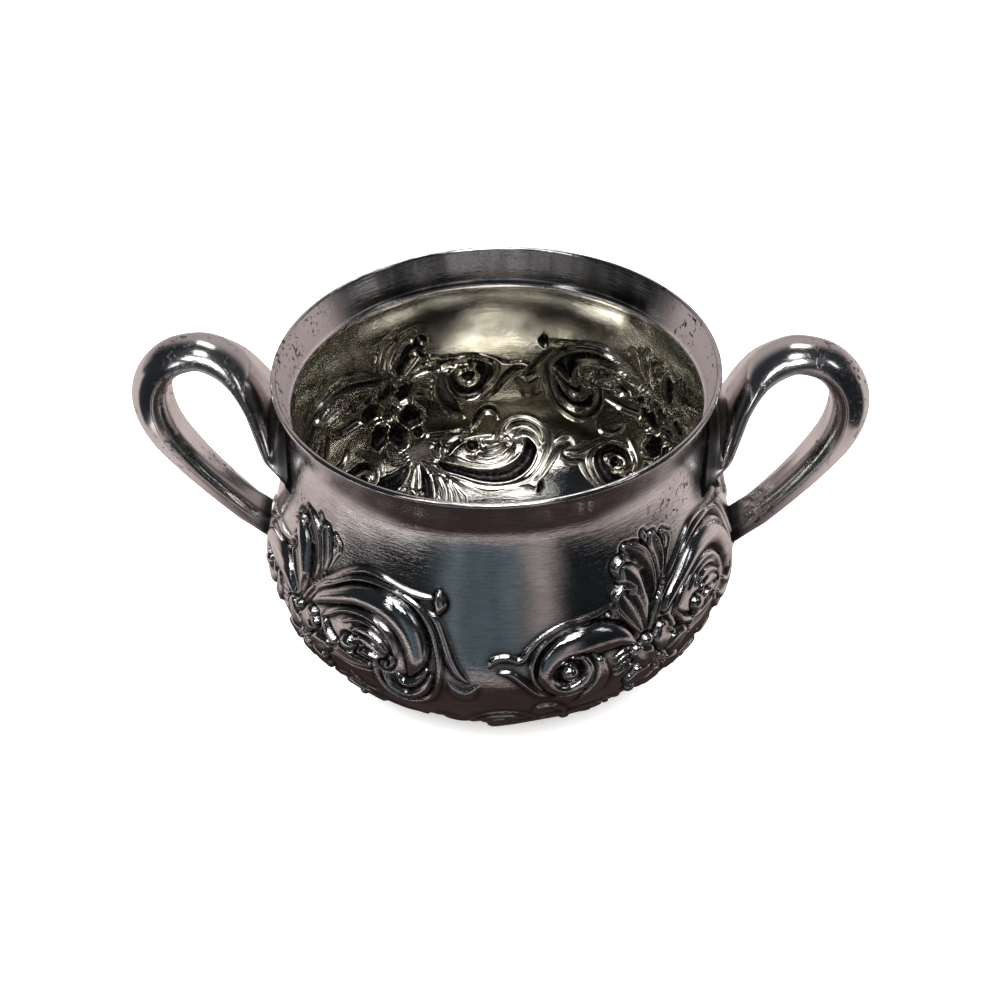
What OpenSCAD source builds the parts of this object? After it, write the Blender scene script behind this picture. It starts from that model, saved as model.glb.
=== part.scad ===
// Two-handled silver sugar bowl, raised from sheet, with hollow soldered handles.
// Millimetres. +Z is up, +X points along the right handle, and the origin is
// the centre of the resting plane.

/* [Bowl] */
// Height of the mouth above the table
rim_z = 75; // [72:1:79]
// Outer radius of the mouth
rim_r = 50; // [49:0.5:52]
// Outer radius of the neck under the flared mouth
neck_r = 48.3; // [47:0.1:48.5]
// Depth of the neck below the mouth
neck_drop = 9; // [7:0.5:11]
// Outer radius of the belly, over the crests of the chasing
belly_r = 56; // [54:0.1:57]
// Height of the widest part of the belly
belly_z = 27; // [25:1:31]
// Outer radius of the flat foot
foot_r = 28; // [27:1:31]
// Thickness of the silver sheet
sheet_t = 0.9; // [0.8:0.05:1.2]
// Thickness of the hammered edge of the mouth
lip_t = 1.3; // [1.2:0.05:1.6]
// Rise of the hollow under the foot
hollow_rise = 1.2; // [0.8:0.1:2]

/* [Handles] */
// Thickness of the pressed handle shells
shell_t = 0.7; // [0.6:0.05:0.9]
// Height of the upper root's middle below the mouth
root_drop = 17.5; // [16:0.5:19]
// Half of the upper root's width around the neck
root_w = 17.5; // [15:0.5:19]
// Half of the upper root's height
root_h = 6; // [5:0.5:7]
// Height of the lower end's middle below the mouth
foot_drop = 46; // [44:0.5:48]
// Half of the lower end's width
foot_w = 5; // [4.5:0.1:5.5]
// Half of the lower end's height
foot_h = 5.8; // [5:0.1:6.5]

/* [Solder] */
// Width of the solder fillet on the bowl
fillet_w = 1.3; // [1:0.1:1.6]
// Gap left between touching curved pieces
skin = 0.04; // [0.03:0.01:0.06]

/* [Hidden] */
silver = "#c9c6c4";
solder_grey = "#a8a6a4";
neck_z = rim_z - neck_drop;
curve_steps = 16;
path_steps = 3;         // stations between two route points
arc_steps = 8;          // facets across one half shell
seam_n = -0.25;         // seam plane, in half thicknesses from the middle

// Middle line of the right handle: distance outside the mouth, height above
// the mouth, half width, half thickness, and how far the section wraps round
// the neck. The upper root and the lower end complete it on the bowl's skin.
ROUTE = [[ 2.6, -15.5, 15.2, 2.4, 0.95],
         [ 3.6, -11.5, 12.4, 2.6, 0.80],
         [ 4.8,  -7.0, 10.2, 2.8, 0.50],
         [ 7.6,  -1.6,  8.2, 3.0, 0.20],
         [11.5,   1.8,  6.8, 3.2, 0.05],
         [16.5,   3.5,  6.3, 3.3, 0],
         [23.0,   1.6,  6.2, 3.8, 0],
         [27.4,  -3.6,  6.2, 4.3, 0],
         [28.9, -10.5,  6.2, 4.6, 0],
         [27.2, -18.5,  6.0, 4.4, 0],
         [22.3, -27.0,  5.7, 3.9, 0],
         [16.4, -35.0,  5.3, 3.6, 0],
         [11.0, -41.5,  5.0, 3.5, 0]];

// ---- curves ----
function bezier(a, b, c, d, t) =
    a * pow(1 - t, 3) + b * 3 * t * pow(1 - t, 2)
    + c * 3 * t * t * (1 - t) + d * pow(t, 3);
function bezier_run(a, b, c, d, n) =
    [for (i = [1:n]) bezier(a, b, c, d, i / n)];
function catmull(p, q, r, s, t) =
    0.5 * (2 * q + (r - p) * t + (2 * p - 5 * q + 4 * r - s) * t * t
           + (3 * q - p - 3 * r + s) * t * t * t);
function clamped(i, n) = min(max(i, 0), n);

// ---- bowl profile, from the foot's edge up to the mouth ----
SIDE = concat(
    [[foot_r, 0]],
    bezier_run([foot_r, 0], [foot_r + 13, 2.5], [belly_r, belly_z - 14],
               [belly_r, belly_z], curve_steps),
    bezier_run([belly_r, belly_z], [belly_r, belly_z + 9],
               [neck_r, neck_z - 14], [neck_r, neck_z], curve_steps),
    bezier_run([neck_r, neck_z], [neck_r, neck_z + 3],
               [rim_r - 0.7, rim_z - 2.5], [rim_r, rim_z], curve_steps / 2));
LAST = len(SIDE) - 1;
function side_slope(i) =
    SIDE[clamped(i + 1, LAST)] - SIDE[clamped(i - 1, LAST)];
// The sheet thickens evenly from the neck to the edge of the mouth.
function sheet_at(z) = lookup(z, [[neck_z, sheet_t], [rim_z, lip_t]]);
function inward(i) =
    let (d = side_slope(i), k = sheet_at(SIDE[i][1]) / norm(d))
    SIDE[i] + [-d[1], d[0]] * k;
INSIDE = [for (i = [LAST:-1:1]) [inward(i)[0], min(inward(i)[1], rim_z)]];
SKIN_TABLE = [for (p = SIDE) [p[1], p[0]]];
function skin_r(z) = lookup(z, SKIN_TABLE);
hollow_r = foot_r - 9;

module bowl_body() {
    color(silver)
    rotate_extrude($fn = 180)
    polygon(concat(
        [[0, hollow_rise], [hollow_r * 0.6, hollow_rise * 0.6], [hollow_r, 0]],
        SIDE,
        INSIDE,
        [[foot_r - 1, sheet_t], [hollow_r, sheet_t],
         [hollow_r * 0.6, hollow_rise * 0.6 + sheet_t],
         [0, hollow_rise + sheet_t]]));
}

// ---- handle route ----
SEGMENTS = len(ROUTE) - 1;
function route_at(u) =
    let (i = min(floor(u), SEGMENTS - 1))
    catmull(ROUTE[clamped(i - 1, SEGMENTS)], ROUTE[i], ROUTE[i + 1],
            ROUTE[clamped(i + 2, SEGMENTS)], u - i);
STATIONS = SEGMENTS * path_steps;
function place(s) = [s[0] + rim_r, s[1] + rim_z];
function heading(u) =
    let (d = place(route_at(min(u + 0.05, SEGMENTS)))
             - place(route_at(max(u - 0.05, 0))))
    d / norm(d);
// Offset of a section point from the middle line, in half thicknesses.
function across(a) = a <= 180 ? seam_n + (1 - seam_n) * sin(a)
                              : seam_n + (1 + seam_n) * sin(a);
function wrapped(x, y, k) =
    x - k * (neck_r - sqrt(neck_r * neck_r - y * y));
function mid_ring(j, angles, inset) =
    let (u = j / path_steps, s = route_at(u), c = place(s), d = heading(u))
    [for (a = angles)
        let (y = (s[2] - inset) * cos(a), n = (s[3] - inset) * across(a))
        [wrapped(c[0] - d[1] * n, y, s[4]), y, c[1] + d[0] * n]];
// The two end rings lie on the bowl's skin.
function on_skin(y, z, gap) =
    let (r = skin_r(z) + gap) [sqrt(r * r - y * y), y, z];
function root_ring(angles, inset, gap) =
    [for (a = angles)
        on_skin((root_w - inset) * cos(a),
                rim_z - root_drop + (root_h - inset) * across(a), gap)];
function foot_ring(angles, inset, gap) =
    [for (a = angles)
        on_skin((foot_w - inset) * cos(a),
                rim_z - foot_drop - (foot_h - inset) * across(a), gap)];
function shell_rings(angles, inset) = concat(
    [root_ring(angles, inset, skin)],
    [for (j = [0:STATIONS]) mid_ring(j, angles, inset)],
    [foot_ring(angles, inset, skin)]);

// A half shell: the outer skin's arc there and the inner skin's arc back.
module half_shell(first) {
    angles = [for (i = [0:arc_steps]) first + i * 180 / arc_steps];
    back = [for (i = [arc_steps:-1:0]) angles[i]];
    outer = shell_rings(angles, 0);
    inner = shell_rings(back, shell_t);
    rings = [for (j = [0:len(outer) - 1]) concat(outer[j], inner[j])];
    m = 2 * (arc_steps + 1);
    top = (len(rings) - 1) * m;
    walls = [for (j = [0:len(rings) - 2], i = [0:m - 1])
                [[j * m + i, j * m + (i + 1) % m, (j + 1) * m + i],
                 [j * m + (i + 1) % m, (j + 1) * m + (i + 1) % m,
                  (j + 1) * m + i]]];
    start_cap = [for (i = [0:arc_steps - 1])
                    [[i, m - 1 - i, i + 1], [i + 1, m - 1 - i, m - 2 - i]]];
    polyhedron(
        points = [for (r = rings) for (p = r) p],
        faces = concat(
            [for (q = walls) for (f = q) f],
            [for (q = start_cap) for (f = q) f],
            [for (q = start_cap) for (f = q)
                [top + f[2], top + f[1], top + f[0]]]));
}

// A triangular fillet of solder round one end of a handle.
module solder_band(skin_points, toe_points, rise_points) {
    n = len(skin_points);
    polyhedron(
        points = concat(skin_points, toe_points, rise_points),
        faces = [for (k = [0:2], i = [0:n - 1], half = [0:1])
            let (a = k * n + i, b = k * n + (i + 1) % n,
                 c = ((k + 1) % 3) * n + i,
                 d = ((k + 1) % 3) * n + (i + 1) % n)
            half == 0 ? [a, b, c] : [b, d, c]]);
}

ROUND = [for (i = [0:23]) i * 15];
function toward(a, b, k) =
    [for (i = [0:len(a) - 1]) a[i] + (b[i] - a[i]) * k];

module upper_solder() {
    color(solder_grey)
    solder_band(root_ring(ROUND, -2 * skin, skin),
                root_ring(ROUND, -fillet_w, skin),
                toward(root_ring(ROUND, -2 * skin, skin),
                       mid_ring(0, ROUND, -2 * skin), 0.35));
}

module lower_solder() {
    color(solder_grey)
    solder_band(foot_ring(ROUND, -2 * skin, skin),
                foot_ring(ROUND, -fillet_w, skin),
                toward(foot_ring(ROUND, -2 * skin, skin),
                       mid_ring(STATIONS, ROUND, -2 * skin), 0.25));
}

module left_side() { rotate([0, 0, 180]) children(); }

module right_handle_outer_shell() { color(silver) half_shell(0); }
module right_handle_inner_shell() { color(silver) half_shell(180); }
module left_handle_outer_shell() { left_side() right_handle_outer_shell(); }
module left_handle_inner_shell() { left_side() right_handle_inner_shell(); }
module right_upper_solder() { upper_solder(); }
module right_lower_solder() { lower_solder(); }
module left_upper_solder() { left_side() upper_solder(); }
module left_lower_solder() { left_side() lower_solder(); }

bowl_body();
right_handle_outer_shell();
right_handle_inner_shell();
left_handle_outer_shell();
left_handle_inner_shell();
right_upper_solder();
right_lower_solder();
left_upper_solder();
left_lower_solder();
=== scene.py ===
"""Looks of a two-handled silver sugar bowl with a chased belly.

The chased relief is drawn once, as strokes on a tile of the bowl's wall, and
wrapped four times round the bowl. Lengths are in millimetres until a mesh is
made. Materials, lights and the stage are in metres.
"""
import math
from collections import namedtuple

import bpy
import numpy as np
from mathutils import Matrix, Vector


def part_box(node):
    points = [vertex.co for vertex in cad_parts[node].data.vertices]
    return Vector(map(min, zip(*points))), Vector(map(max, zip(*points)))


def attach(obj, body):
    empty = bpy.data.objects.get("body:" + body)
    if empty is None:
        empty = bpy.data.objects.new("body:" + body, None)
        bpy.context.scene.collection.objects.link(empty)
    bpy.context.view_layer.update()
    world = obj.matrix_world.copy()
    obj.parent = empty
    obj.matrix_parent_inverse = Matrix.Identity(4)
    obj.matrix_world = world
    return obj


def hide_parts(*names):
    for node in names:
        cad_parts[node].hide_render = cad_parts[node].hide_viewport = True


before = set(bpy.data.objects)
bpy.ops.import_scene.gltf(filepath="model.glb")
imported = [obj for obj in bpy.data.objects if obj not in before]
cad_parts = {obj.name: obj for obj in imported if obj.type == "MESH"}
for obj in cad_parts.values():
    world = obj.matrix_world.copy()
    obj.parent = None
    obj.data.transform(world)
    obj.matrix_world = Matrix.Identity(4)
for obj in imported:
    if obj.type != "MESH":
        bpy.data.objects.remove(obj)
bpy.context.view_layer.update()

MM = 0.001
DEG = math.pi / 180

# ---- driving sizes of the bowl ----
RIM_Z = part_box("bowl_body")[1].z / MM
RIM_R = 50.0
NECK_R = 48.3
NECK_Z = RIM_Z - 9
BELLY_R = 56.0
BELLY_Z = 27.0
FOOT_R = 28.0
HOLLOW_R = FOOT_R - 9   # the raised middle of the foot
HOLLOW_RISE = 1.2
SHEET = 0.9             # thickness of the raised sheet
LIP = 1.3               # thickness of the edge of the mouth
GROUND = 0.8            # depth of the plain ground below the crests
CREST = 0.5             # ridge inside, where the mouth turns out
CREST_RISE = 0.8        # height of that ridge above the neck
COLUMNS = 1200          # quads round the bowl
FINE = 0.30             # row spacing where there is relief
COARSE = 0.75           # row spacing near the foot
FOOT_ROWS = 3           # lowest rows, which the inner face doesn't have

# ---- driving sizes of the handles ----
SHELL = 0.7             # thickness of a pressed half
SEAM = -0.25            # seam plane, in half thicknesses from the middle
SUNK = 1.25             # how deep the ends reach into the bowl's skin
# An end of a handle: the depth of its middle below the mouth, its half width
# and half height, which way up it is, and how far its two tips hang down.
End = namedtuple("End", "drop half_w half_h turn sag")
ROOT = End(17.2, 17.5, 4.0, 1, 4.5)
FOOT = End(47.4, 5.0, 4.4, -1, 0.0)
# Middle line: outside the mouth, above the mouth, half width, half thickness,
# and how far the section wraps round the neck.
ROUTE = [(2.6, -15.5, 15.2, 2.4, 0.95), (3.6, -11.5, 12.4, 2.6, 0.80),
         (4.8, -7.0, 10.2, 2.8, 0.50), (7.6, -1.6, 8.2, 3.0, 0.20),
         (11.5, 1.8, 6.8, 3.2, 0.05), (16.5, 3.5, 6.3, 3.3, 0), (23.0, 1.6, 6.2, 3.8, 0),
         (27.4, -3.6, 6.2, 4.3, 0), (28.9, -10.5, 6.2, 4.6, 0), (27.2, -18.5, 6.0, 4.4, 0),
         (22.3, -27.0, 5.7, 3.9, 0), (16.4, -35.0, 5.3, 3.6, 0), (11.0, -41.5, 5.0, 3.5, 0)]


# ---- curves ----


def bezier(a, b, c, d, count):
    """Points of a cubic curve, without its first one."""
    t = np.linspace(0, 1, count + 1)[1:, None]
    a, b, c, d = (np.array(p, float) for p in (a, b, c, d))
    return (a * (1 - t) ** 3 + 3 * b * t * (1 - t) ** 2
            + 3 * c * t * t * (1 - t) + d * t ** 3)


def catmull(points, spacing):
    """A smooth run through the points, which may carry widths as well."""
    p = np.array(points, float)
    p = np.vstack([2 * p[0] - p[1], p, 2 * p[-1] - p[-2]])
    out = []
    for i in range(1, len(p) - 2):
        reach = np.hypot(*(p[i + 1] - p[i])[:2])
        t = np.arange(0, 1, spacing / max(reach, spacing))[:, None]
        out.append(0.5 * (2 * p[i] + (p[i + 1] - p[i - 1]) * t
                          + (2 * p[i - 1] - 5 * p[i] + 4 * p[i + 1] - p[i + 2]) * t ** 2
                          + (3 * p[i] - p[i - 1] - 3 * p[i + 1] + p[i + 2]) * t ** 3))
    out.append(p[-2:-1])
    return np.vstack(out)


def smooth(x):
    """An eased step from 0 to 1."""
    x = np.clip(x, 0, 1)
    return x * x * (3 - 2 * x)


def blur(h, radius):
    """Gaussian blur of a height field; the radius is in its cells."""
    reach = max(1, int(3 * radius))
    k = np.exp(-0.5 * (np.arange(-reach, reach + 1) / radius) ** 2)
    k /= k.sum()
    for axis in (0, 1):
        pad = [(0, 0), (0, 0)]
        pad[axis] = (reach, reach)
        wide = np.pad(h, pad, mode="edge")
        h = sum(k[i] * np.take(wide, np.arange(i, i + h.shape[axis]), axis)
                for i in range(2 * reach + 1))
    return h


# ---- the bowl's side, by its arc length from the foot's edge ----
SIDE = np.vstack([
    [[FOOT_R, 0]],
    bezier((FOOT_R, 0), (FOOT_R + 13, 2.5), (BELLY_R, BELLY_Z - 14), (BELLY_R, BELLY_Z),
           200),
    bezier((BELLY_R, BELLY_Z), (BELLY_R, BELLY_Z + 9), (NECK_R, NECK_Z - 14),
           (NECK_R, NECK_Z), 200),
    bezier((NECK_R, NECK_Z), (NECK_R, NECK_Z + 3), (RIM_R - 0.7, RIM_Z - 2.5),
           (RIM_R, RIM_Z), 60)])
ARC = np.concatenate([[0], np.cumsum(np.hypot(*np.diff(SIDE, axis=0).T))])
SLOPE = np.gradient(SIDE, ARC, axis=0)
SLOPE /= np.hypot(*SLOPE.T)[:, None]
MOUTH_S = ARC[-1]       # arc length at the mouth


def side_r(s):
    return np.interp(s, ARC, SIDE[:, 0])


def side_z(s):
    return np.interp(s, ARC, SIDE[:, 1])


def outward(s):
    """The outward normal (r, z) of the side."""
    return np.stack([np.interp(s, ARC, SLOPE[:, 1]),
                     -np.interp(s, ARC, SLOPE[:, 0])], -1)


def skin_r(z):
    return np.interp(z, SIDE[:, 1], SIDE[:, 0])


# ---- relief: strokes on a tile of the wall ----
# The lower ornament is the upper one, turned by half a turn, smaller and flatter.
LOWER_TURN = -1.0
LOWER_TOP = 60.8
LOWER_SCALE = 0.71
LOWER_HEIGHT = 0.75
RUN_STEP = 0.25         # spacing of the points along a stroke
LEAST_W = 0.12          # least half width of a stroke
LINE_DEPTH, LINE_W = 0.32, 0.24
GROOVE_W = 0.36         # width of the groove that sets a stroke off


class Relief:
    """A height field over angle (degrees from the flower) and arc length."""

    def __init__(self, a_range, s_range, step):
        self.step = step
        self.da = step / (BELLY_R * DEG)
        self.a = np.arange(*a_range, self.da)
        self.s = np.arange(*s_range, step)
        self.h = np.zeros((len(self.s), len(self.a)))
        self.cover = np.zeros(self.h.shape)
        self.lower = False          # draws the smaller, half-turned copy

    def place(self, points):
        """The points as they lie on the tile, in the upper or the lower ornament."""
        p = np.array(points, float)
        if self.lower:
            p[:, 0] = LOWER_TURN - p[:, 0]
            p[:, 1] = LOWER_TOP - LOWER_SCALE * p[:, 1]
            p[:, 2] *= LOWER_SCALE
        return p

    def window(self, p, reach):
        """The part of the tile near the points, as slices and coordinates."""
        slim = reach / (side_r(max(p[:, 1].min() - reach, 4)) * DEG)
        i0, i1 = np.searchsorted(self.s, [p[:, 1].min() - reach, p[:, 1].max() + reach])
        j0, j1 = np.searchsorted(self.a, [p[:, 0].min() - slim, p[:, 0].max() + slim])
        cut = (slice(i0, i1), slice(j0, j1))
        return cut, self.a[None, j0:j1], self.s[i0:i1, None]

    def ribbon(self, points, height, lines=(), dish=0.0, groove=0.45, rise=0.35,
               power=1.0, cup=0.0, over=True):
        """A raised stroke. Each point is (angle, arc, half width).

        lines are chased grooves along it, -1 to 1 across. dish hollows its
        middle, and cup, from 0 to 1, hollows it all over but for its two
        edges. groove is the depth of the ground beside it. rise says how much
        lower its narrow parts are, and power how sharp its crest is. over cuts
        away what it covers; otherwise the two run together.
        """
        p = self.place(points)
        p[:, 2] *= (side_r(p[:, 1]) / BELLY_R) ** 0.7
        height = height * LOWER_HEIGHT if self.lower else height
        run = catmull(p, RUN_STEP)
        run[:, 2] = np.maximum(run[:, 2], LEAST_W)
        near = side_r(run[:, 1]) * DEG
        step = np.gradient(run[:, :2], axis=0) * np.stack([near, np.ones(len(run))], 1)
        step /= np.maximum(np.hypot(*step.T), 1e-9)[:, None]
        cut, a, s = self.window(run, run[:, 2].max() + 1.6)
        h = self.h[cut]
        if not h.size:
            return
        away, side, width = self.measure(run, near, step, a, s, h.shape)
        u = away / width
        share = (width / run[:, 2].max()) ** rise
        body = height * share * np.maximum(1 - u ** 2, 0) ** (0.5 * power)
        body *= 1 - cup * np.exp(-(u / 0.66) ** 4)
        body -= dish * share * np.exp(-(u / 0.55) ** 2)
        across = np.where(side < 0, -u, u)
        for c in lines:
            body -= (LINE_DEPTH * share * smooth(width / 0.6)
                     * np.exp(-((across - c) * width / LINE_W) ** 2))
        if groove:
            h = h - groove * np.exp(-((away - width - 0.22) / GROOVE_W) ** 2) * (away > width)
        mask = smooth((width + 0.08 - away) / 0.22)
        self.cover[cut] = np.maximum(self.cover[cut], mask)
        self.h[cut] = h * (1 - mask) + body * mask if over else np.maximum(h, body)

    @staticmethod
    def measure(run, near, step, a, s, shape):
        """Each cell's distance from the run, its side of it, and the width there."""
        flat_a, flat_s = (np.broadcast_to(v, shape).ravel() for v in (a, s))
        best = np.full(flat_a.shape, 1e9)
        pick = np.zeros(flat_a.shape, int)
        for i in range(len(run)):
            d = ((flat_a - run[i, 0]) * near[i]) ** 2 + (flat_s - run[i, 1]) ** 2
            closer = d < best
            best[closer] = d[closer]
            pick[closer] = i
        dx = (flat_a - run[pick, 0]) * near[pick]
        dy = flat_s - run[pick, 1]
        along = dx * step[pick, 0] + dy * step[pick, 1]
        side = dy * step[pick, 0] - dx * step[pick, 1]
        spot = np.clip(pick + along / RUN_STEP, 0, len(run) - 1)
        width = np.interp(spot, np.arange(len(run)), run[:, 2])
        inside = (spot > 0) & (spot < len(run) - 1)
        away = np.where(inside, np.abs(side), np.sqrt(best))
        return tuple(v.reshape(shape) for v in (away, side, width))

    def strand(self, width, *points, height=0.75, cup=0.0):
        """A sharp ridge of one width, with hollow flanks, that tapers at both ends."""
        last = len(points) - 1
        taper = [0.5 if i in (0, last) else 1.4 for i in range(last + 1)]
        self.ribbon([(a, s, width * k) for (a, s), k in zip(points, taper)], height,
                    power=2.6, cup=cup, over=False)

    def dome(self, a, s, radius, height, groove=0.35, dish=0.0):
        self.ribbon([(a - 0.05, s, radius), (a + 0.05, s, radius)], height,
                    dish=dish, groove=groove)

    def beads(self, start, end, count, radius, height):
        """A straight row of small domes."""
        for t in np.linspace(0, 1, count):
            self.dome(start[0] + (end[0] - start[0]) * t,
                      start[1] + (end[1] - start[1]) * t, radius, height, groove=0.25)


# One ornament. Every point is (degrees from the flower, arc length, half width),
# or the first two in a strand, whose width comes first.


def draw_leaf(r):
    """The upright acanthus leaf over the flower."""
    r.ribbon([(8.8, 61, 0.5), (10.6, 65.6, 1.1), (11.8, 68.4, 1.3), (10.6, 70.6, 0.6)],
             0.9, cup=0.6)
    r.ribbon([(5.1, 68, 0.4), (4.9, 71.0, 0.9), (4.0, 73.2, 0.4)], 0.8, cup=0.6)
    r.ribbon([(7.6, 60.0, 0.5), (8.0, 65, 1.6), (7.3, 68.8, 2.0), (7.0, 71.2, 1.1)],
             1.2, cup=0.8)
    r.ribbon([(4.8, 57.5, 0.6), (4.4, 63, 1.8), (2.2, 67.8, 2.8), (-0.6, 70.6, 2.2),
              (-1.8, 71.6, 1.0)], 1.3, cup=0.85)
    r.ribbon([(1.0, 51.5, 0.9), (0.8, 57.0, 2.2), (-0.6, 61.8, 3.1), (-2.4, 65.2, 3.0),
              (-4.0, 67.8, 1.7)], 1.7, power=1.5)
    r.ribbon([(-1.4, 68.6, 0.4), (-3.4, 69.6, 0.8), (-5.4, 68.4, 1.0), (-5.4, 66.2, 0.5)],
             1.7)
    r.ribbon([(-0.6, 50.6, 0.7), (-2.6, 55.2, 2.0), (-4.4, 58.8, 2.4), (-5.0, 61.2, 1.4)],
             1.2, cup=0.8)
    r.ribbon([(-2.2, 61.8, 0.4), (-4.2, 62.8, 0.8), (-6.2, 61.6, 1.0), (-6.2, 59.6, 0.5)],
             1.6)
    r.ribbon([(2.2, 64.0, 0.3), (3.0, 60.6, 0.8), (3.3, 57.6, 0.3)], 0.3, dish=1.2)
    for k in range(3):
        r.beads((1.0 + 1.4 * k, 49.6), (2.6 + 1.2 * k, 56.0), 13, 0.28, 0.85)
    r.beads((5.4, 56.0), (8.4, 60.2), 5, 0.52, 1.0)


def draw_c_scroll(r):
    """The great C-scroll, its mouldings and the foot that hangs from it."""
    r.strand(0.75, (1.6, 49.8), (5.8, 55.6), (11.9, 60.9), (17.4, 65.0), (21.8, 67.0),
             (26.4, 66.8), (31.8, 65.5), (37.3, 64.9), (40.8, 65.2))
    r.ribbon([(41.6, 62.2, 0.8), (42.0, 64.2, 1.5), (41.5, 66.3, 0.8)], 1.5)
    r.strand(0.95, (38.2, 61.8), (40.9, 59.9), (42.9, 55.5), (44.6, 50.8), (46.2, 47.7),
             (48.4, 45.6))
    r.strand(1.2, (44.4, 44.6), (46.0, 42.4), (48.4, 41.7), (50.6, 44.3),
             height=1.1, cup=0.5)
    r.strand(0.62, (4.0, 51.2), (8.2, 56.4), (13, 60.2), (17.9, 63.4), (22.9, 64.8),
             (27.9, 64.8), (32.9, 63.8), (36.8, 61.6), (39.7, 57.8), (41.2, 53.5),
             (42.0, 48.6), (41.6, 43.4), (39.4, 38.9), (35.1, 36.4), (30.6, 36.9),
             (27.4, 40.0), (26.1, 44.0), (26.8, 46.8))
    r.strand(0.55, (16.4, 51.8), (20.7, 54.2), (25.1, 54.0), (28.4, 52.2), (30.0, 49.2),
             height=0.7)
    r.strand(0.75, (9.4, 49.6), (11.9, 51.8), (15.2, 54.3), (19.6, 55.9), (24.6, 55.8),
             (28.4, 54.2), (30.8, 51.2), (31.4, 48.2), height=0.8)
    r.ribbon([(6.8, 52.5, 0.9), (9.2, 54.7, 1.6), (13.5, 57.2, 2.0), (19.6, 59.9, 2.6),
              (25.1, 60.6, 3.2), (30.1, 59.5, 3.6), (33.9, 56.6, 3.4), (36.0, 52.8, 3.0),
              (36.5, 49.0, 2.4), (35.4, 45.6, 0.8)], 2.1, power=1.1, rise=0.5)
    r.strand(0.95, (32.2, 44.4), (33.9, 42.6), (36.9, 43.8), (39.2, 47.4), height=1.2)
    r.strand(0.95, (28.8, 42.8), (30.8, 39.9), (34.9, 39.1), (38.4, 41.5), (40.1, 45.8),
             height=1.1)
    r.dome(29.2, 46.6, 1.9, 0.9, dish=1.5)
    draw_fronds(r)


def draw_fronds(r):
    """Small curled leaves and a ball inside the C-scroll."""
    r.ribbon([(28.8, 49.0, 0.7), (26.2, 50.8, 1.1), (22.9, 52.0, 1.0), (19.8, 51.4, 0.35)],
             1.1, cup=0.4)
    r.ribbon([(28.0, 47.8, 0.7), (25.1, 49.2, 1.1), (22.4, 49.8, 0.8), (20.6, 49.0, 0.3)],
             1.0, cup=0.4)
    r.ribbon([(26.6, 46.6, 0.6), (24.0, 47.0, 0.8), (22.4, 46.6, 0.3)], 0.9)
    r.dome(18.4, 47.2, 2.2, 1.5)
    r.ribbon([(24.5, 43.6, 0.8), (19.6, 43.2, 1.6), (15.2, 43.6, 2.0), (10.8, 43.6, 2.0),
              (5.8, 41.8, 0.8)], 1.2, cup=0.5)
    r.ribbon([(14.2, 45.4, 0.9), (12.0, 46.8, 1.0), (10.6, 49.4, 0.3)], 1.2)
    r.ribbon([(8.0, 44.6, 0.9), (6.8, 46.8, 1.0), (7.2, 49.4, 0.3)], 1.1, lines=(0,))


def draw_volute(r):
    """The ball volute, its moulding and its fishtail."""
    r.strand(0.75, (-7.2, 59.9), (-11.5, 58.8), (-16, 58.3), (-20.4, 57.9), (-24.8, 56.2),
             (-28.2, 53.6), (-30.4, 51.0), (-33.6, 51.9), (-36.4, 51.3), (-37.4, 49.6))
    r.strand(0.75, (-35.6, 48.4), (-32.5, 47.6), (-29.2, 44.4), (-26.2, 41.4),
             (-22.8, 39.7))
    r.ribbon([(-12.0, 47.0, 1.2), (-12.0, 42.4, 2.0), (-14.6, 38.4, 1.7),
              (-17.8, 35.6, 0.5)], 1.1, cup=0.3)
    r.strand(0.85, (-27.6, 34.4), (-26.4, 36.4), (-23.6, 36.5), (-21.2, 34.2),
             (-19.6, 31.4))
    r.strand(0.50, (-2.7, 49.5), (-6.0, 53.3), (-9.3, 55.6), (-13.7, 56.9), (-19.3, 57.2),
             (-23.9, 55.2), (-26.9, 52.0), (-28.0, 48.2), (-26.7, 44.0), (-23.3, 40.9),
             (-19.3, 40.0))
    r.ribbon([(-3.0, 48.6, 0.9), (-6.4, 51.4, 2.6), (-10.4, 52.7, 3.6), (-15.2, 52.8, 3.9),
              (-20.0, 52.2, 3.3), (-23.6, 49.8, 2.4), (-24.9, 46.2, 1.8),
              (-23.1, 42.8, 1.6), (-19.6, 41.4, 1.6), (-16.0, 42.8, 1.5),
              (-14.6, 46.0, 1.2), (-16.0, 49.2, 0.8), (-18.6, 50.0, 0.5)],
             1.9, power=1.2, rise=0.6, groove=0.7)
    r.dome(-19.4, 46.4, 2.0, 1.9, groove=0.8)
    r.dome(-8.6, 57.4, 0.6, 0.8)
    for k in range(4):
        r.strand(0.6, (-2.5, 47.0 - 1.4 * k), (-5, 47.4 - 1.5 * k), (-8.4, 46.6 - 1.7 * k),
                 height=0.8)


def draw_flower(r, a, s, petals=6, seeds=14):
    """A flower with its petals round a seeded button."""
    for k in range(petals):
        t = (k + 0.3) * 2 * math.pi / petals
        r.ribbon([(a + d * math.cos(t), s + d * math.sin(t), w)
                  for d, w in ((2.6, 1.3), (5.6, 3.0), (8.0, 2.0))],
                 1.7, dish=0.5, groove=0.55)
    r.dome(a, s, 2.4, 1.7)
    for k in range(seeds):
        t = k * 2.4                     # about the golden angle, so they spread evenly
        d = 0.55 * math.sqrt(k)
        r.dome(a + d * math.cos(t), s + d * math.sin(t), 0.34, 2.0, groove=0.2)


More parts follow.
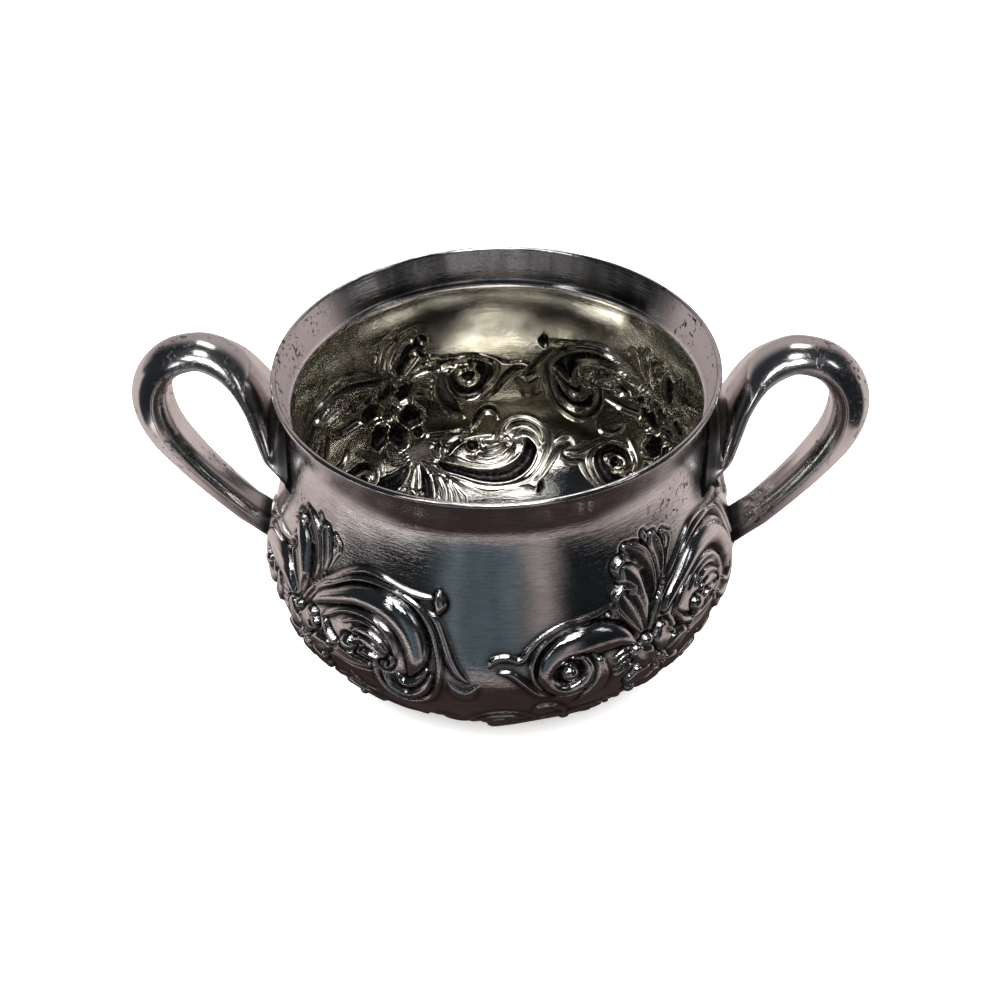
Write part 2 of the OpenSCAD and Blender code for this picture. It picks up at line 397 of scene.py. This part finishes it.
# From 54 degrees left of the flower to 53 right, in cells of 0.17 mm.
tile = Relief((-54, 53), (3, 77), 0.17)
for tile.lower in (True, False):
    draw_leaf(tile)
    draw_volute(tile)
    draw_c_scroll(tile)
draw_flower(tile, 3.8, 40.4)
tile.dome(0.6, 47.6, 1.5, 1.4)
tile.dome(7.4, 47.0, 1.0, 1.2)
tile.dome(-3.6, 34.0, 1.5, 1.3)

# What the bowl takes from the tile: the relief outside and inside, and where
# its ground outside and its hollows inside are dark.
height = blur(tile.h, 0.7)
pressed = 1.4 * blur(tile.h, 1.1)               # as the sheet shows it inside
ground = smooth((blur(tile.cover, 7) - 0.35) / 0.3) * smooth((0.42 - height) / 0.3)
sunken = np.clip((blur(tile.h, 5) - height) / 0.22, 0, 1)
FIELDS = {
    "height": height,
    "pressed": pressed,
    "groove": np.maximum(sunken, 0.92 * ground),
    "hollow": smooth((pressed - 1.15 * blur(tile.h, 11) - 0.12) / 0.55),
}
# Each ornament's flower angle, and 1 where its middle stands higher, as at the back.
ORNAMENTS = ((-143.5, 0.0), (-52.5, 0.0), (37, 1.0), (121, 1.0))


def spread(s, amount):
    """Where on the tile an arc length is looked up."""
    even = np.linspace(0, MOUTH_S, 400)
    moved = even + amount * (5.0 * np.exp(-((even - 48) / 8) ** 2))
    return np.interp(s, moved, even)


def wrap(field, theta, s):
    """A field of the tile, four times round the bowl, at a grid of points."""
    h = FIELDS[field]
    out = np.zeros((len(s), len(theta)))
    for angle, amount in ORNAMENTS:
        a = (theta - angle + 180) % 360 - 180
        x = (a - tile.a[0]) / tile.da
        y = (spread(s, amount) - tile.s[0]) / tile.step
        on_x = (x > 0) & (x < h.shape[1] - 1)
        on_y = (y > 0) & (y < h.shape[0] - 1)
        i, j = y[on_y].astype(int)[:, None], x[on_x].astype(int)[None, :]
        v, u = y[on_y][:, None] - i, x[on_x][None, :] - j
        part = ((h[i, j] * (1 - u) + h[i, j + 1] * u) * (1 - v)
                + (h[i + 1, j] * (1 - u) + h[i + 1, j + 1] * u) * v)
        spot = np.ix_(on_y, on_x)
        out[spot] = np.where(np.abs(part) > np.abs(out[spot]), part, out[spot])
    return out


# ---- meshes ----


def make_mesh(name, points, quads, fields=None):
    """A smooth mesh from points in millimetres and quads."""
    mesh = bpy.data.meshes.new(name)
    mesh.vertices.add(len(points))
    mesh.vertices.foreach_set("co", (np.asarray(points) * MM).astype(np.float32).ravel())
    mesh.loops.add(quads.size)
    mesh.loops.foreach_set("vertex_index", quads.astype(np.int32).ravel())
    mesh.polygons.add(len(quads))
    mesh.polygons.foreach_set("loop_start", np.arange(0, quads.size, 4, dtype=np.int32))
    mesh.polygons.foreach_set("use_smooth", np.ones(len(quads), bool))
    mesh.update(calc_edges=True)
    mesh.validate()
    for key, values in (fields or {}).items():
        layer = mesh.attributes.new(key, "FLOAT", "POINT")
        layer.data.foreach_set("value", values.astype(np.float32))
    piece = bpy.data.objects.new(name, mesh)
    bpy.context.scene.collection.objects.link(piece)
    return piece


def loft(rings, count):
    """Quads between rings of count points, numbered ring by ring."""
    i = np.arange(rings - 1)[:, None] * count
    j = np.arange(count)[None, :]
    k = (j + 1) % count
    return np.stack([i + j, i + k, i + count + k, i + count + j], -1).reshape(-1, 4)


def bowl_rows():
    """Arc lengths of the rows. One of them lies at 75, where the relief ends."""
    return np.concatenate([np.arange(0, 5, COARSE), np.arange(5, 75, FINE),
                           np.arange(75, MOUTH_S, FINE), [MOUTH_S]])


def unevenness(theta, s):
    """The slight waviness that raising by hammer leaves, in millimetres."""
    t = theta[None, :] * DEG
    s = s[:, None]
    return (0.05 * np.sin(3 * t + 0.7) * np.sin(s / 19)
            + 0.035 * np.sin(7 * t + s / 11) + 0.02 * np.sin(13 * t - s / 7 + 2)
            + 0.012 * np.sin(29 * t + s / 3.1))


def sheet_rings(theta, s):
    """Rings of (radius, height) of the outer face, upward, and the inner, downward."""
    side = np.stack([side_r(s), side_z(s)], -1)[:, None]
    flat = smooth((s - 2) / 8)[:, None] * smooth((MOUTH_S - s) / 12)[:, None]
    base = unevenness(theta, s) * flat - GROUND * flat
    normal = outward(s)[:, None]
    outer = side + (wrap("height", theta, s) + base)[..., None] * normal

    thick = np.interp(side_z(s), [NECK_Z, RIM_Z], [SHEET, LIP])
    ridge = CREST * np.exp(-np.abs((side_z(s) - NECK_Z - CREST_RISE) / 0.55) ** 1.5)
    inward = wrap("pressed", theta, s) + base - (thick + ridge)[:, None]
    inner = (side + inward[..., None] * normal)[FOOT_ROWS:][::-1]
    inner[..., 1] = np.maximum(inner[..., 1], SHEET)
    return outer, inner


def lip_rings(first, last):
    """A round edge from the outer face to the inner one."""
    middle, half = (first + last) / 2, (first - last) / 2
    up = np.stack([-half[:, 1], half[:, 0]], -1)
    return np.stack([middle + half * math.cos(t) + up * math.sin(t)
                     for t in np.linspace(0, math.pi, 11)[1:-1]])


def level_rings(radii, heights):
    return np.stack([np.tile([r, z], (COLUMNS, 1)) for r, z in zip(radii, heights)])


def foot_rings():
    """The underside, outward from the middle, and the floor inside, inward."""
    reach = np.linspace(0.02, 1, 14)
    dome = HOLLOW_RISE * np.cos(reach * math.pi / 2)
    under = level_rings([*reach * HOLLOW_R, HOLLOW_R + 3, FOOT_R - 3, FOOT_R - 1],
                        [*dome, 0, 0, 0])
    floor = level_rings([FOOT_R - 1, FOOT_R - 4, HOLLOW_R + 3, *(reach * HOLLOW_R)[::-1]],
                        [SHEET] * 3 + [*dome[::-1] + SHEET])
    return under, floor


def root_dirt_and_shade(theta, s):
    """Dirt and painted shade on the neck beside the tips of the handles' upper roots."""
    beside = np.abs(side_r(s)[:, None] * np.sin(theta * DEG)) - ROOT.half_w - 1
    above = side_z(s)[:, None] - RIM_Z + ROOT.drop
    return (0.9 * np.exp(-np.abs(beside / 3.5) ** 2.5)
            * np.exp(-np.abs(above / 5.5) ** 3))


def build_bowl():
    theta = np.arange(COLUMNS) * 360 / COLUMNS
    s = bowl_rows()
    s_in = s[FOOT_ROWS:][::-1]
    outer, inner = sheet_rings(theta, s)
    under, floor = foot_rings()
    lip = lip_rings(outer[-1], inner[0])
    parts = {"under": under, "outer": outer, "lip": lip, "inner": inner, "floor": floor}

    fields = {key: {name: np.zeros(part.shape[:2]) for name, part in parts.items()}
              for key in ("dark", "within", "mouth")}
    # Outside: oxide in the grooves and ground, and dirt with painted shade beside the upper
    # roots.
    fields["dark"]["outer"] += np.maximum(wrap("groove", theta, s), root_dirt_and_shade(theta, s))
    fields["dark"]["inner"] += wrap("hollow", theta, s_in)
    fields["within"]["inner"] += smooth((NECK_Z + 0.6 - side_z(s_in)) / 0.8)[:, None]
    fields["within"]["floor"] += 1
    fields["mouth"]["inner"] += smooth((side_z(s_in) - NECK_Z - 0.9) / 0.5)[:, None]

    rings = np.concatenate(list(parts.values()))
    t = theta * DEG
    xyz = np.stack([rings[..., 0] * np.cos(t), rings[..., 0] * np.sin(t), rings[..., 1]], -1)
    quads = [loft(len(rings), COLUMNS)]
    for ring, turn in ((0, 1), (len(rings) - 1, -1)):       # close the two middles
        j = np.arange(COLUMNS // 2 - 1)
        a, b, c, d = j, j + 1, COLUMNS - 2 - j, COLUMNS - 1 - j
        quads.append(np.stack([a, d, c, b][::turn], -1) + ring * COLUMNS)
    return make_mesh("chased_bowl", xyz.reshape(-1, 3), np.concatenate(quads),
                     {key: np.concatenate(list(values.values())).ravel()
                      for key, values in fields.items()})


# ---- handles ----


def section(angles):
    """Across and outward offsets of the handle's section, -1 to 1."""
    y = np.cos(angles)
    lift = np.abs(np.sin(angles))
    outer = SEAM + (1 - SEAM) * lift ** 1.25
    inner = SEAM - (1 + SEAM) * (1.2 * lift ** 1.2 - 0.30 * lift ** 6)
    return y, np.where(np.sin(angles) >= 0, outer, inner)


def on_skin(y, z, gap):
    r = skin_r(z) + gap
    return np.stack([np.sqrt(r * r - y * y), y, z], -1)


def end_ring(angles, end, gap, grow=0.0):
    """The ring of points where an end of the handle meets the bowl's skin."""
    y, n = section(angles)
    height = RIM_Z - end.drop - end.sag * y ** 2
    return on_skin((end.half_w + grow) * y, height + end.turn * (end.half_h + grow) * n, gap)


def handle_rings(angles, inset):
    """Rings of points from the upper root to the lower end."""
    run = catmull(ROUTE, 0.8)
    path = run[:, :2] + (RIM_R, RIM_Z)
    way = np.gradient(path, axis=0)
    way /= np.hypot(*way.T)[:, None]
    wrapped = run[:, 4:]
    y, n = section(angles)
    w = (run[:, 2] - inset)[:, None] * y
    t = (run[:, 3] - inset)[:, None] * n
    x = path[:, :1] - way[:, 1:] * t - wrapped * (NECK_R - np.sqrt(NECK_R ** 2 - w ** 2))
    z = path[:, 1:] + way[:, :1] * t - 0.45 * ROOT.sag * wrapped ** 4 * y ** 2
    mid = np.stack([x, w, z], -1)
    root = end_ring(angles, ROOT, -SUNK, -inset)
    foot = end_ring(angles, FOOT, -SUNK, -inset)
    return np.concatenate([[root], blend_ends(root, mid, foot), [foot]])


def blend_ends(root, mid, foot):
    """Eases the first and last rings of the limb into its ends."""
    k = np.linspace(0, 1, 7)[1:-1][:, None, None]
    bend = 0.75 * mid[0] + 0.25 * root
    first = root * (1 - k) ** 2 + 2 * k * (1 - k) * bend + mid[0] * k ** 2
    last = mid[-1] * (1 - k) + foot * k
    return np.concatenate([first, mid, last])


def turned(points, side):
    """The points as they are for the right side, and half round for the left."""
    return points * (-1, -1, 1) if side == "left" else points


def build_shell(name, first, side):
    """One pressed half: first is 0 for the outer half and 180 for the inner."""
    angles = (first + np.linspace(0, 180, 41)) * DEG
    outer = handle_rings(angles, 0)
    inner = handle_rings(angles[::-1], SHELL)
    rings = np.concatenate([outer, inner], axis=1)
    count = rings.shape[1]
    points = rings.reshape(-1, 3)
    j = np.arange(len(angles) - 1)
    cap = np.stack([j, j + 1, count - 2 - j, count - 1 - j], -1)
    quads = np.concatenate([loft(len(rings), count), cap[:, ::-1],
                            cap + (len(rings) - 1) * count])
    clear = np.hypot(points[:, 0], points[:, 1]) - skin_r(points[:, 2])
    # Dirt and painted shade: darker within 3.6 mm of the bowl, where the ends meet it.
    tarnish_and_shade = 0.95 * smooth((3.6 - clear) / 2.6)      # gathers within 3.6 mm of the bowl
    return make_mesh(name, turned(points, side), quads, {"dark": tarnish_and_shade})


def build_solder(name, end, side):
    """A lumpy concave fillet of solder round one end of a handle."""
    angles = np.linspace(0, 360, 145)[:-1] * DEG
    lump = (1 + 0.18 * np.sin(5 * angles + 1) + 0.12 * np.sin(11 * angles)
            + 0.08 * np.sin(23 * angles + 2))
    limb = handle_rings(angles, -0.05)
    neighbour = limb[3] if end is ROOT else limb[-4]
    inner = end_ring(angles, end, -SUNK)
    toe = end_ring(angles, end, -GROUND - 0.12, 1.2 * lump)
    corner = end_ring(angles, end, -0.7, 0.15)
    rise = corner + (neighbour - corner) * 0.22 * lump[:, None]
    k = np.linspace(0, 1, 7)[:, None, None]
    face = toe * (1 - k) ** 2 + 2 * k * (1 - k) * corner + rise * k ** 2
    rings = np.concatenate([face, [inner + (neighbour - inner) * 0.15], [inner]])
    points = rings.reshape(-1, 3)
    quads = loft(len(rings) + 1, len(angles)) % len(points)
    if end is FOOT:                     # its rings turn the other way
        quads = quads[:, ::-1]
    return make_mesh(name, turned(points, side), quads)


# ---- materials ----


class Graph:
    """A short way to write a material's nodes."""

    def __init__(self, name):
        self.material = bpy.data.materials.new(name)
        self.material.use_nodes = True
        self.tree = self.material.node_tree
        self.shader = self.tree.nodes["Principled BSDF"]

    @classmethod
    def around(cls, tree):
        """A graph over a tree that exists already, such as a world's."""
        g = cls.__new__(cls)
        g.tree = tree
        return g

    def link(self, value, socket):
        if isinstance(value, bpy.types.NodeSocket):
            self.tree.links.new(value, socket)
        else:
            socket.default_value = value

    def math(self, operation, *values):
        """Joins the values two by two; a single value goes in alone."""
        total = values[0]
        for other in values[1:] or (0.0,):
            n = self.tree.nodes.new("ShaderNodeMath")
            n.operation = operation
            self.link(total, n.inputs[0])
            self.link(other, n.inputs[1])
            total = n.outputs[0]
        return total

    def squared(self, value):
        return self.math("MULTIPLY", value, value)

    def ramp(self, value, low, high):
        """An eased step from 0 to 1, or down again where low is the greater."""
        n = self.tree.nodes.new("ShaderNodeMapRange")
        n.interpolation_type = "SMOOTHSTEP"
        for v, socket in zip((value, low, high), n.inputs):
            self.link(v, socket)
        return n.outputs[0]

    def mix(self, factor, a, b):
        n = self.tree.nodes.new("ShaderNodeMix")
        n.data_type = "RGBA"
        for v, socket in zip((factor, a, b), (n.inputs[0], n.inputs[6], n.inputs[7])):
            self.link(v, socket)
        return n.outputs[2]

    def attribute(self, name):
        n = self.tree.nodes.new("ShaderNodeAttribute")
        n.attribute_name = name
        return n.outputs["Fac"]

    def place(self, output="Object"):
        return self.tree.nodes.new("ShaderNodeTexCoord").outputs[output]

    def split(self, vector):
        n = self.tree.nodes.new("ShaderNodeSeparateXYZ")
        self.link(vector, n.inputs[0])
        return n.outputs

    def scaled(self, vector, scale):
        n = self.tree.nodes.new("ShaderNodeMapping")
        self.link(vector, n.inputs["Vector"])
        n.inputs["Scale"].default_value = scale
        return n.outputs[0]

    def round_bowl(self, around, along):
        """Coordinates round the bowl's axis: (angle, height, radius)."""
        x, y, z = self.split(self.place())
        radius = self.math("SQRT", self.math("ADD", self.squared(x), self.squared(y)))
        out = self.tree.nodes.new("ShaderNodeCombineXYZ")
        angle = self.math("ARCTAN2", y, x)
        for value, scale, socket in zip((angle, z, radius), (around, along, along),
                                        out.inputs):
            self.link(self.math("MULTIPLY", value, scale), socket)
        return out.outputs[0]

    def noise(self, vector, scale, detail=4.0, rough=0.55):
        n = self.tree.nodes.new("ShaderNodeTexNoise")
        self.link(vector, n.inputs["Vector"])
        n.inputs["Scale"].default_value = scale
        n.inputs["Detail"].default_value = detail
        n.inputs["Roughness"].default_value = rough
        return n.outputs["Fac"]

    def bump(self, height, distance, normal=None):
        n = self.tree.nodes.new("ShaderNodeBump")
        self.link(height, n.inputs["Height"])
        n.inputs["Distance"].default_value = distance
        if normal is not None:
            self.link(normal, n.inputs["Normal"])
        return n.outputs[0]

    def finish(self, colour, roughness, normal, metallic=1.0):
        """Joins a metal's looks to its shader."""
        self.link(metallic, self.shader.inputs["Metallic"])
        self.link(colour, self.shader.inputs["Base Color"])
        self.link(roughness, self.shader.inputs["Roughness"])
        self.link(normal, self.shader.inputs["Normal"])
        return self.material


SILVER = (0.80, 0.775, 0.765, 1)
OLD_SILVER = (0.60, 0.575, 0.56, 1)
SCRATCHED = (0.42, 0.41, 0.405, 1)
OXIDE = (0.016, 0.015, 0.016, 1)
GILT_GREY = (0.62, 0.60, 0.51, 1)
OLIVE = (0.27, 0.255, 0.19, 1)
# Painted reflections for the mouth's inner band: rosy sides, blue-grey at the back.
PAINTED_ROSY_REFLECTION = (0.58, 0.485, 0.475, 1)
PAINTED_DARK_BLUE_REFLECTION = (0.11, 0.125, 0.14, 1)
PAINTED_LIGHT_BLUE_REFLECTION = (0.46, 0.49, 0.53, 1)


def pits(g, vector, where, more=0.0):
    """Specks and patches of corrosion: 0 in clear metal and 1 in a pit."""
    specks = g.ramp(g.noise(vector, 850, 3, 0.6), 0.57, 0.62)
    patch = g.ramp(g.noise(vector, 95, 2), 0.50 - more, 0.62 - more)
    return g.math("MULTIPLY", specks, patch, where)


def bowl_material():
    g = Graph("bowl_silver")
    place = g.place()
    x, y, z = g.split(place)
    brush = g.noise(g.round_bowl(14, 1900), 1.0, 5, 0.7)
    cloud = g.noise(place, 45, 5)
    fine = g.noise(place, 900, 4)
    dark, within, mouth = (g.attribute(key) for key in ("dark", "within", "mouth"))
    # Pits gather on the shoulders beside the handles, and in the mouth's dull sides.
    dull = g.math("MULTIPLY", mouth, g.ramp(y, 0.034, 0.020))
    shoulders = g.math("MULTIPLY", g.ramp(g.math("ABSOLUTE", x), 0.026, 0.040),
                       g.ramp(z, 0.046, 0.060))
    pit = g.math("MAXIMUM", pits(g, place, shoulders), pits(g, place, dull, 0.10))
    # Oxide in the grooves and hollows, pits, and dirt with painted shade beside the handles'
    # upper roots.
    tarnish_and_shade = g.math("MULTIPLY", dark, g.math("ADD", 0.75, g.math("MULTIPLY", fine, 0.5)))
    tarnish_and_shade = g.math("MINIMUM", g.math("MAXIMUM", tarnish_and_shade, pit), 1.0)
    # Clear metal outside, with brushing round the axis.
    clean = g.mix(g.ramp(cloud, 0.42, 0.72), SILVER, OLD_SILVER)
    clean = g.mix(g.math("MULTIPLY", g.ramp(brush, 0.40, 0.70), 0.55), clean, SCRATCHED)
    # Olive tarnish inside, less of it down on the floor.
    inside = g.mix(g.ramp(cloud, 0.38, 0.66), GILT_GREY, OLIVE)
    higher = g.math("MULTIPLY", g.ramp(z, 0.004, 0.022), 0.7)
    olive = g.math("MULTIPLY", within, g.math("ADD", 0.25, higher))
    colour = g.mix(olive, clean, inside)
    # Inside the mouth, painted reflections: a blue-grey band at the back and rosy sides.
    patches = g.ramp(g.noise(g.round_bowl(5, 18), 1.0, 3), 0.35, 0.65)
    painted_blue_reflection = g.mix(patches, PAINTED_DARK_BLUE_REFLECTION, PAINTED_LIGHT_BLUE_REFLECTION)
    colour = g.mix(mouth, colour, g.mix(g.ramp(y, 0.024, 0.034), PAINTED_ROSY_REFLECTION, painted_blue_reflection))
    colour = g.mix(tarnish_and_shade, colour, OXIDE)
    rough = g.math("ADD", 0.01, g.math("MULTIPLY", brush, 0.055),
                   g.math("MULTIPLY", tarnish_and_shade, 0.30), g.math("MULTIPLY", dull, 0.30))
    normal = g.bump(brush, 0.00004)
    normal = g.bump(g.math("SUBTRACT", g.noise(place, 220, 2), pit), 0.00002, normal)
    return g.finish(colour, rough, normal,
                    g.math("SUBTRACT", 1.0, g.math("MULTIPLY", dull, 0.35)))


def handle_material():
    g = Graph("handle_silver")
    place = g.place()
    scratch = g.noise(g.scaled(place, (500, 2400, 700)), 1.0, 4, 0.65)
    cloud = g.noise(place, 60, 4)
    pit = pits(g, place, 0.8)
    # Dirt and painted shade near the bowl, and pits, turn the metal towards oxide.
    tarnish_and_shade = g.math("MINIMUM", g.math("MAXIMUM", g.attribute("dark"), pit), 1.0)
    colour = g.mix(g.ramp(cloud, 0.4, 0.75), SILVER, OLD_SILVER)
    colour = g.mix(tarnish_and_shade, colour, OXIDE)
    rough = g.math("ADD", 0.09, g.math("MULTIPLY", scratch, 0.16),
                   g.math("MULTIPLY", tarnish_and_shade, 0.3))
    normal = g.bump(scratch, 0.00001)
    normal = g.bump(g.math("SUBTRACT", g.noise(place, 150, 2), pit), 0.000022, normal)
    return g.finish(colour, rough, normal)


def solder_material():
    g = Graph("solder")
    place = g.place()
    cloud = g.noise(place, 300, 4)
    colour = g.mix(g.ramp(cloud, 0.10, 0.42), OLD_SILVER, OXIDE)
    rough = g.math("ADD", 0.42, g.math("MULTIPLY", cloud, 0.3))
    return g.finish(colour, rough, g.bump(g.noise(place, 700, 4), 0.00012))


# ---- assembly ----
bowl_silver, handle_silver, solder = bowl_material(), handle_material(), solder_material()


def adopt(piece, node, material):
    """Puts a finished piece in the place of its CAD node."""
    piece.data.materials.append(material)
    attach(piece, "root")
    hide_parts(node)


adopt(build_bowl(), "bowl_body", bowl_silver)
for side in ("right", "left"):
    for half, first in (("outer", 0), ("inner", 180)):
        piece = build_shell(f"{side}_handle_{half}_half", first, side)
        adopt(piece, f"{side}_handle_{half}_shell", handle_silver)
    for level, end in (("upper", ROOT), ("lower", FOOT)):
        piece = build_solder(f"{side}_{level}_solder_fillet", end, side)
        adopt(piece, f"{side}_{level}_solder", solder)


# ---- stage ----
FLOOR = 8.0             # half of the floor's width
TABLE_FRONT = 0.124     # from the bowl to the front edge of the table it reflects
TABLE_SIDE = 0.146
VIEW_TURN = 3.5 * DEG   # the camera and the reflected table are turned by this


def plain_material(name, colour, rough, glow):
    material = bpy.data.materials.new(name)
    material.use_nodes = True
    shader = material.node_tree.nodes["Principled BSDF"]
    shader.inputs["Base Color"].default_value = colour
    shader.inputs["Roughness"].default_value = rough
    shader.inputs["Emission Color"].default_value = colour
    shader.inputs["Emission Strength"].default_value = glow
    return material


def build_floor(name, outline, material):
    """A flat floor inside an outline of (x, y) corners."""
    mesh = bpy.data.meshes.new(name)
    mesh.from_pydata([(x, y, 0) for x, y in outline], [], [range(len(outline))])
    floor = bpy.data.objects.new(name, mesh)
    floor.data.materials.append(material)
    bpy.context.scene.collection.objects.link(floor)
    return floor


def table_outline():
    """The table that the metal reflects: it ends in a round edge in front."""
    front = [(TABLE_SIDE * math.sin(a * DEG), -TABLE_FRONT * math.cos(a * DEG))
             for a in range(-90, 91, 3)]
    return [(-FLOOR, 0)] + front + [(FLOOR, 0), (FLOOR, FLOOR), (-FLOOR, FLOOR)]


def area_light(name, size, energy):
    data = bpy.data.lights.new(name, "AREA")
    data.shape = "RECTANGLE"
    data.size, data.size_y = size
    data.energy = energy
    lamp = bpy.data.objects.new(name, data)
    bpy.context.scene.collection.objects.link(lamp)
    return lamp


def card(name, azimuth, elevation, distance, size, glow, colour=(1, 1, 1)):
    """A soft light card that only polished metal sees.

    It faces the bowl, azimuth degrees to the right of the front.
    """
    lamp = area_light(name, size, glow * math.pi * size[0] * size[1])
    lamp.data.color = colour
    lamp.visible_diffuse = False
    turn = (Matrix.Rotation(azimuth * DEG, 3, "Z")
            @ Matrix.Rotation(-elevation * DEG, 3, "X"))
    way = turn @ Vector((0, -1, 0))
    lamp.matrix_world = (Matrix.Translation(way * distance + Vector((0, 0, 0.04)))
                         @ way.to_track_quat("Z", "Y").to_matrix().to_4x4())


def ceiling(name, height, width, energy):
    """A wide light that polished metal doesn't see; it makes the floor evenly pale."""
    lamp = area_light(name, (width, width), energy)
    lamp.location.z = height
    lamp.visible_glossy = False


# The room as polished metal sees it, by degrees from the front, rightward.
ROOM = [(-180, (0.36, 0.31, 0.31)), (-125, (0.48, 0.42, 0.41)), (-108, (0.40, 0.35, 0.34)),
        (-98, (0.030, 0.034, 0.038)), (-36, (0.014, 0.018, 0.021)),
        (-24, (0.07, 0.095, 0.11)), (-20, (0.17, 0.215, 0.24)), (-15, (0.05, 0.066, 0.078)),
        (-6, (0.095, 0.125, 0.145)), (2, (0.055, 0.073, 0.085)), (8, (0.15, 0.19, 0.215)),
        (13, (0.05, 0.066, 0.078)), (15, (0.17, 0.15, 0.15)), (22, (0.40, 0.36, 0.36)),
        (27, (0.22, 0.19, 0.19)), (32, (0.010, 0.013, 0.016)), (90, (0.016, 0.020, 0.024)),
        (102, (0.38, 0.33, 0.32)), (120, (0.48, 0.42, 0.41)), (180, (0.36, 0.31, 0.31))]
DIM_ABOVE = (0.022, 0.027, 0.032, 1)
ROSY_ABOVE = (0.42, 0.37, 0.37, 1)


def build_world():
    """A dim room in front, warm and lighter at the sides and behind."""
    world = bpy.data.worlds.new("room")
    bpy.context.scene.world = world
    world.use_nodes = True
    g = Graph.around(world.node_tree)
    x, y, z = g.split(g.place("Generated"))
    turn = g.math("DIVIDE", g.math("ARCTAN2", x, g.math("MULTIPLY", y, -1.0)), 2 * math.pi)
    ramp = g.tree.nodes.new("ShaderNodeValToRGB")
    g.link(g.math("ADD", turn, 0.5), ramp.inputs[0])
    stops = ramp.color_ramp.elements
    while len(stops) < len(ROOM):
        stops.new(0.5)
    for stop, (azimuth, colour) in zip(stops, ROOM):
        stop.position = 0.5 + azimuth / 360
        stop.color = (*colour, 1)
    overhead = g.mix(g.ramp(y, 0.30, 0.80), DIM_ABOVE, ROSY_ABOVE)
    g.link(g.mix(g.ramp(z, 0.12, 0.34), ramp.outputs[0], overhead),
           g.tree.nodes["Background"].inputs[0])


def mirrored_floor_material():
    """The table as polished metal sees it, painted as a glowing plane: rosy, with a painted
    shadow dim close to the bowl.
    """
    g = Graph("floor_in_reflections")
    x, y, _ = g.split(g.place())
    # reach is 1 at the table's front edge
    across = g.math("DIVIDE", x, TABLE_SIDE)
    forward = g.math("DIVIDE", y, TABLE_FRONT)
    reach = g.math("SQRT", g.math("ADD", g.squared(across), g.squared(forward)))
    # Painted shadow: the table is dim in front of the bowl and close to it, lighter at the
    # sides, behind and towards its front edge.
    light = g.math("MAXIMUM", g.ramp(g.math("ABSOLUTE", x), 0.060, 0.115),
                   g.ramp(y, -0.02, 0.03), g.ramp(reach, 0.875, 0.92))
    light = g.math("MULTIPLY", light, g.ramp(reach, 0.28, 0.62))
    colour = g.mix(light, (0.045, 0.032, 0.031, 1), (0.66, 0.57, 0.555, 1))
    # a painted highlight: a bright strip along the left part of the edge
    edge = g.math("MULTIPLY", g.ramp(reach, 0.955, 0.975), g.ramp(x, -0.060, -0.075),
                  g.ramp(y, -0.02, -0.04))
    g.shader.inputs["Base Color"].default_value = (0, 0, 0, 1)
    g.shader.inputs["Specular IOR Level"].default_value = 0.0
    g.shader.inputs["Emission Strength"].default_value = 1.0
    g.link(g.mix(edge, colour, (3.0, 2.9, 2.85, 1)), g.shader.inputs["Emission Color"])
    return g.material


def build_stage():
    square = [(-FLOOR, -FLOOR), (FLOOR, -FLOOR), (FLOOR, FLOOR), (-FLOOR, FLOOR)]
    pale = plain_material("floor", (0.86, 0.85, 0.84, 1), 0.9, 0.5)
    build_floor("floor", square, pale).visible_glossy = False
    # A glowing plane that only reflections see: a painted reflection of a table.
    mirrored = build_floor("floor_in_reflections", table_outline(),
                           mirrored_floor_material())
    mirrored.rotation_euler.z = VIEW_TURN
    mirrored.visible_camera = mirrored.visible_diffuse = mirrored.visible_shadow = False
    build_world()
    ceiling("ceiling", 1.6, 3.6, 270)
    card("window", 6, 53, 1.5, (0.62, 0.30), 13.0)
    card("overhead", -5, 78, 1.5, (0.6, 0.35), 4.5)
    card("left_window", -34, 49, 1.5, (0.14, 0.34), 12.0)
    card("back_window", 168, 62, 1.5, (0.7, 0.30), 4.0, (1.0, 0.97, 0.90))
    card("left_strip", -38, 22, 1.6, (0.10, 0.45), 4.0)
    card("right_strip", 66, 34, 1.6, (0.12, 0.5), 3.0)


def build_camera():
    """The photograph's view, taken from 0.35 m, looking down past the mouth."""
    data = bpy.data.cameras.new("camera")
    data.sensor_width = 36
    data.lens = 56.44
    camera = bpy.data.objects.new("camera", data)
    bpy.context.scene.collection.objects.link(camera)
    distance, elevation, pitch, roll = 0.350, 34.79 * DEG, 50.26 * DEG, -1.7 * DEG
    stand = Matrix.Translation((0, -distance * math.cos(elevation),
                                RIM_Z * MM + distance * math.sin(elevation)))
    camera.matrix_world = (Matrix.Rotation(VIEW_TURN, 4, "Z") @ stand
                           @ Matrix.Rotation(pitch, 4, "X") @ Matrix.Rotation(roll, 4, "Z"))
    bpy.context.scene.camera = camera


build_stage()
build_camera()
bpy.context.scene.view_settings.view_transform = "Standard"
